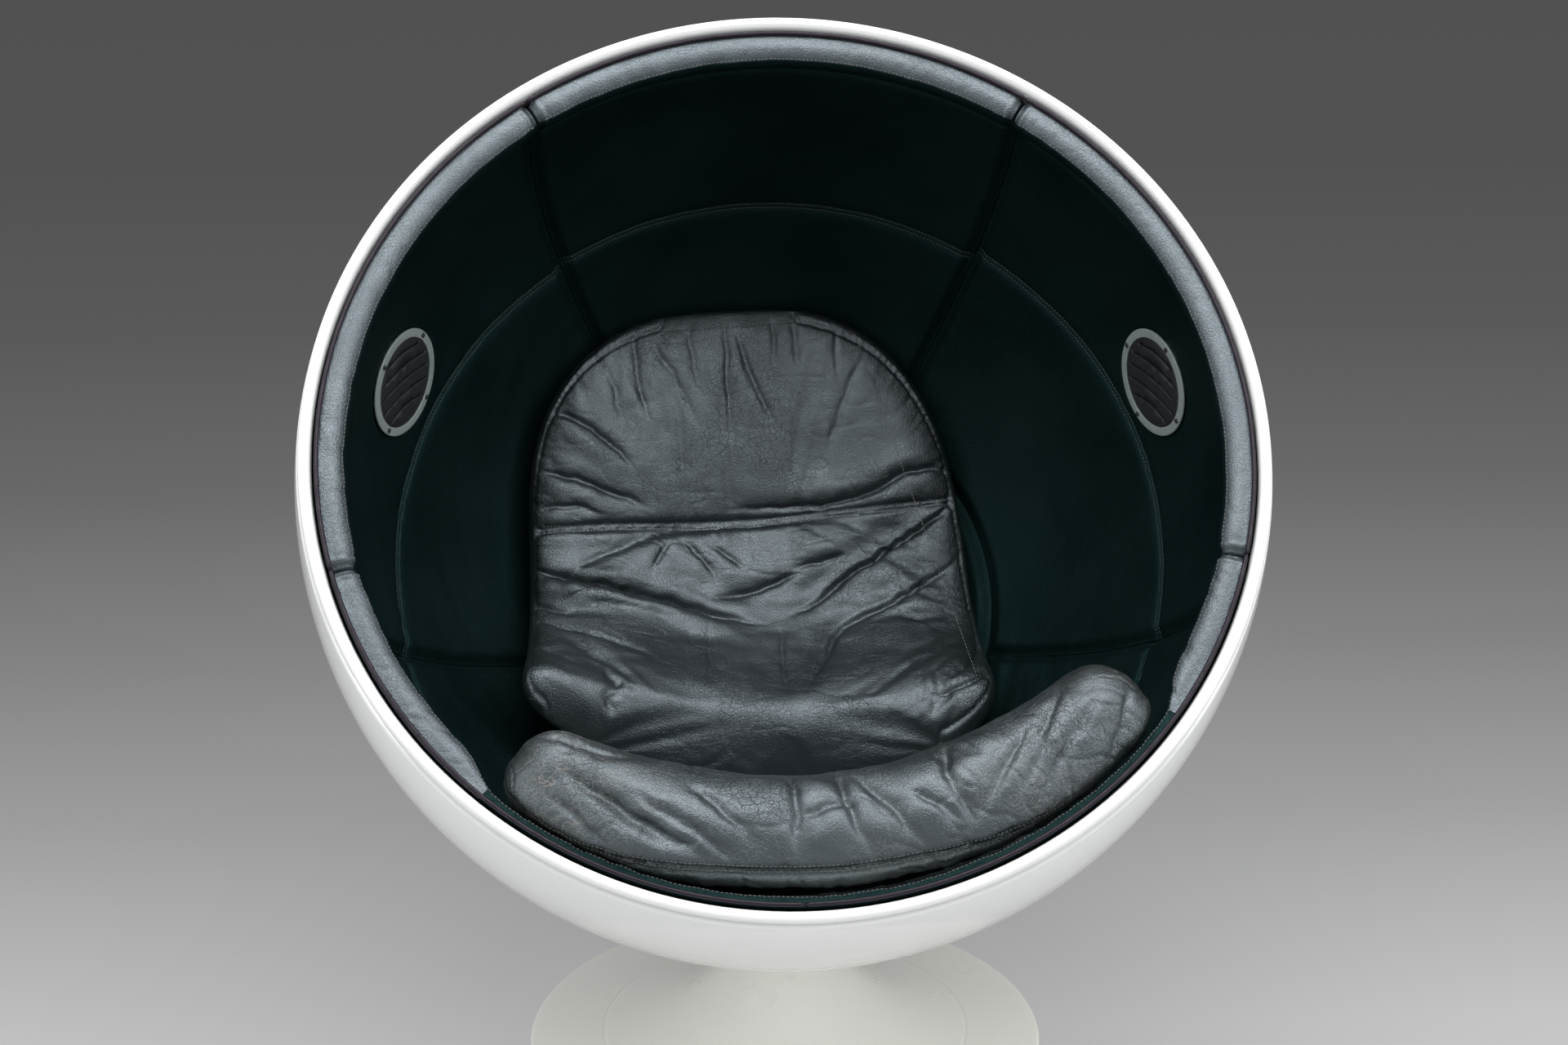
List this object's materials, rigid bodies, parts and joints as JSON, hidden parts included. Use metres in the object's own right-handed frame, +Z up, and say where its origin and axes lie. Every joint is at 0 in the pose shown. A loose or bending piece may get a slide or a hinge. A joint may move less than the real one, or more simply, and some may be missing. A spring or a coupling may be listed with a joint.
{
  "type": "ball chair",
  "caption": "Spherical lounge chair: a glossy white shell lined in dark leather, with loose cushions, built-in round speakers and a white trumpet foot it swivels on.",
  "frame": {"origin": "on the floor, on the swivel axis, under the middle of the ball", "axes": "+Z up along the swivel axis, -Y towards the front (the mouth of the ball), +X to the right as seen from the front"},
  "size_m": [1.049, 0.9349, 1.1686],
  "materials": {
    "white_gelcoat": "high gloss white gelcoat",
    "cream_paint": "semi-gloss off-white paint",
    "black_leather": "worn semi-gloss black leather",
    "black_piping": "black leather piping",
    "zinc_steel": "zinc plated",
    "grey_iron": "plain cast",
    "black_rubber": "matte",
    "white_nylon": "machined nylon",
    "speaker_grey": "satin grey",
    "speaker_black": "matte black",
    "cone_paper": "black pressed paper"
  },
  "bodies": {
    "foot": {"trumpet_foot": "cream_paint", "ballast_plate": "grey_iron", "floor_pad": "black_rubber", "swivel_spindle": "zinc_steel", "spindle_lower_washer": "zinc_steel", "spindle_lower_nut": "zinc_steel", "spindle_top_washer": "zinc_steel", "spindle_top_nut": "zinc_steel", "thrust_bearing": "zinc_steel"},
    "ball": {"ball_shell": "white_gelcoat", "swivel_hub": "cream_paint", "swivel_bush": "white_nylon", "mounting_plate": "zinc_steel", "mounting_bolt_1": "zinc_steel", "mounting_bolt_2": "zinc_steel", "mounting_bolt_3": "zinc_steel", "mounting_bolt_4": "zinc_steel", "back_lining_panel": "black_leather", "left_lining_panel": "black_leather", "right_lining_panel": "black_leather", "bottom_lining_panel": "black_leather", "back_lining_disc": "black_leather", "top_rim_roll": "black_leather", "left_rim_roll": "black_leather", "bottom_rim_roll": "black_leather", "right_rim_roll": "black_leather", "top_rim_welt": "black_piping", "left_rim_welt": "black_piping", "bottom_left_rim_welt": "black_piping", "bottom_right_rim_welt": "black_piping", "right_rim_welt": "black_piping", "back_cushion": "black_leather", "seat_front_roll": "black_leather", "seat_cushion": "black_leather", "left_speaker_ring": "speaker_grey", "left_speaker_grille": "speaker_black", "left_speaker_cone": "cone_paper", "left_speaker_basket": "zinc_steel", "left_speaker_magnet": "zinc_steel", "left_speaker_screw_1": "zinc_steel", "left_speaker_screw_2": "zinc_steel", "left_speaker_screw_3": "zinc_steel", "left_speaker_screw_4": "zinc_steel", "right_speaker_ring": "speaker_grey", "right_speaker_grille": "speaker_black", "right_speaker_cone": "cone_paper", "right_speaker_basket": "zinc_steel", "right_speaker_magnet": "zinc_steel", "right_speaker_screw_1": "zinc_steel", "right_speaker_screw_2": "zinc_steel", "right_speaker_screw_3": "zinc_steel", "right_speaker_screw_4": "zinc_steel"}
  },
  "joints": [
    {"name": "swivel", "type": "hinge", "parent": "foot", "child": "ball", "pos_m": [0, 0, 0.1], "axis": [0, 0, 1], "continuous": true}
  ]
}
